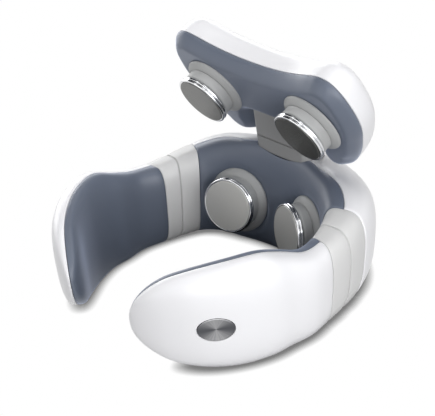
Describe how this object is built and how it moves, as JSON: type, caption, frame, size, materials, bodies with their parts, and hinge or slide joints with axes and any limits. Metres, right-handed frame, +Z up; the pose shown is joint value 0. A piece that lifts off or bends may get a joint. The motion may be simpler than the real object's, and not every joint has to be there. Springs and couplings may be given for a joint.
{
  "type": "neck massager",
  "caption": "Open collar with padded arms on flexible links, a tilting padded module above its back, round sprung massage heads in soft skirts and an oval power button.",
  "frame": {"origin": "on the floor under the middle of the whole object", "axes": "+X to the wearer's right arm of the collar, the one with the button, -Y out of the collar's opening, +Z up"},
  "size_m": [0.1662, 0.1588, 0.1232],
  "materials": {
    "shell_white": "glossy moulded plastic",
    "pad_silicone": "soft-touch silicone",
    "link_rubber": "matt flexible rubber",
    "frame_plastic": "moulded",
    "head_face": "fine satin",
    "head_ring": "polished",
    "skirt_silicone": "matt silicone",
    "spring_steel": "plain",
    "button_steel": "spun, brushed in circles",
    "circuit_board": "solder mask",
    "battery_wrap": "film"
  },
  "bodies": {
    "back_section": {"rear_pad": "pad_silicone", "rear_frame": "frame_plastic", "rear_shell": "shell_white", "left_link_rear": "link_rubber", "left_link_strip": "spring_steel", "right_link_rear": "link_rubber", "right_link_strip": "spring_steel", "bracket_lower": "link_rubber", "bracket_strip": "spring_steel", "lower_left_head_skirt": "skirt_silicone", "lower_left_head_spring": "spring_steel", "lower_right_head_skirt": "skirt_silicone", "lower_right_head_spring": "spring_steel"},
    "left_arm": {"left_link_front": "link_rubber", "left_arm_pad": "pad_silicone", "left_arm_frame": "frame_plastic", "left_arm_shell": "shell_white", "battery_cell": "battery_wrap", "charging_socket": "spring_steel"},
    "right_arm": {"right_link_front": "link_rubber", "right_arm_pad": "pad_silicone", "right_arm_frame": "frame_plastic", "right_arm_shell": "shell_white", "button_switch": "frame_plastic", "control_board": "circuit_board"},
    "button": {"power_button": "button_steel"},
    "upper_module": {"bracket_upper": "link_rubber", "upper_pad": "pad_silicone", "upper_frame": "frame_plastic", "upper_shell": "shell_white", "upper_left_head_skirt": "skirt_silicone", "upper_left_head_spring": "spring_steel", "upper_right_head_skirt": "skirt_silicone", "upper_right_head_spring": "spring_steel"},
    "lower_left_head": {"lower_left_head_face": "head_face", "lower_left_head_ring": "head_ring", "lower_left_head_stem": "frame_plastic"},
    "lower_right_head": {"lower_right_head_face": "head_face", "lower_right_head_ring": "head_ring", "lower_right_head_stem": "frame_plastic"},
    "upper_left_head": {"upper_left_head_face": "head_face", "upper_left_head_ring": "head_ring", "upper_left_head_stem": "frame_plastic"},
    "upper_right_head": {"upper_right_head_face": "head_face", "upper_right_head_ring": "head_ring", "upper_right_head_stem": "frame_plastic"}
  },
  "joints": [
    {"name": "right_arm_flex", "type": "hinge", "parent": "back_section", "child": "right_arm", "pos_m": [0.0791, 0.02478, 0.028], "axis": [0, 0, 1], "range_deg": [0, 20], "stiffness_Nm_per_rad": 1.5, "deforming": ["right_link_strip"]},
    {"name": "left_arm_flex", "type": "hinge", "parent": "back_section", "child": "left_arm", "pos_m": [-0.0791, 0.02478, 0.028], "axis": [0, 0, -1], "range_deg": [0, 20], "stiffness_Nm_per_rad": 1.5, "deforming": ["left_link_strip"]},
    {"name": "upper_module_tilt", "type": "hinge", "parent": "back_section", "child": "upper_module", "pos_m": [0, 0.06704, 0.063], "axis": [-1, 0, 0], "range_deg": [0, 12], "stiffness_Nm_per_rad": 2, "deforming": ["bracket_strip"]},
    {"name": "lower_left_head_press", "type": "slide", "parent": "back_section", "child": "lower_left_head", "axis": [-0.2857, 0.9374, -0.1992], "range_m": [0, 0.0025], "stiffness_N_per_m": 3000, "deforming": ["lower_left_head_skirt", "lower_left_head_spring"]},
    {"name": "lower_right_head_press", "type": "slide", "parent": "back_section", "child": "lower_right_head", "axis": [0.2857, 0.9374, -0.1992], "range_m": [0, 0.0025], "stiffness_N_per_m": 3000, "deforming": ["lower_right_head_skirt", "lower_right_head_spring"]},
    {"name": "upper_left_head_press", "type": "slide", "parent": "upper_module", "child": "upper_left_head", "axis": [-0.0157, 0.9204, 0.3907], "range_m": [0, 0.0025], "stiffness_N_per_m": 3000, "deforming": ["upper_left_head_skirt", "upper_left_head_spring"]},
    {"name": "upper_right_head_press", "type": "slide", "parent": "upper_module", "child": "upper_right_head", "axis": [0.0157, 0.9204, 0.3907], "range_m": [0, 0.0025], "stiffness_N_per_m": 3000, "deforming": ["upper_right_head_skirt", "upper_right_head_spring"]},
    {"name": "power_button_press", "type": "slide", "parent": "right_arm", "child": "button", "axis": [-0.767, 0.6415, 0.011], "range_m": [0, 0.0008], "stiffness_N_per_m": 1500}
  ]
}
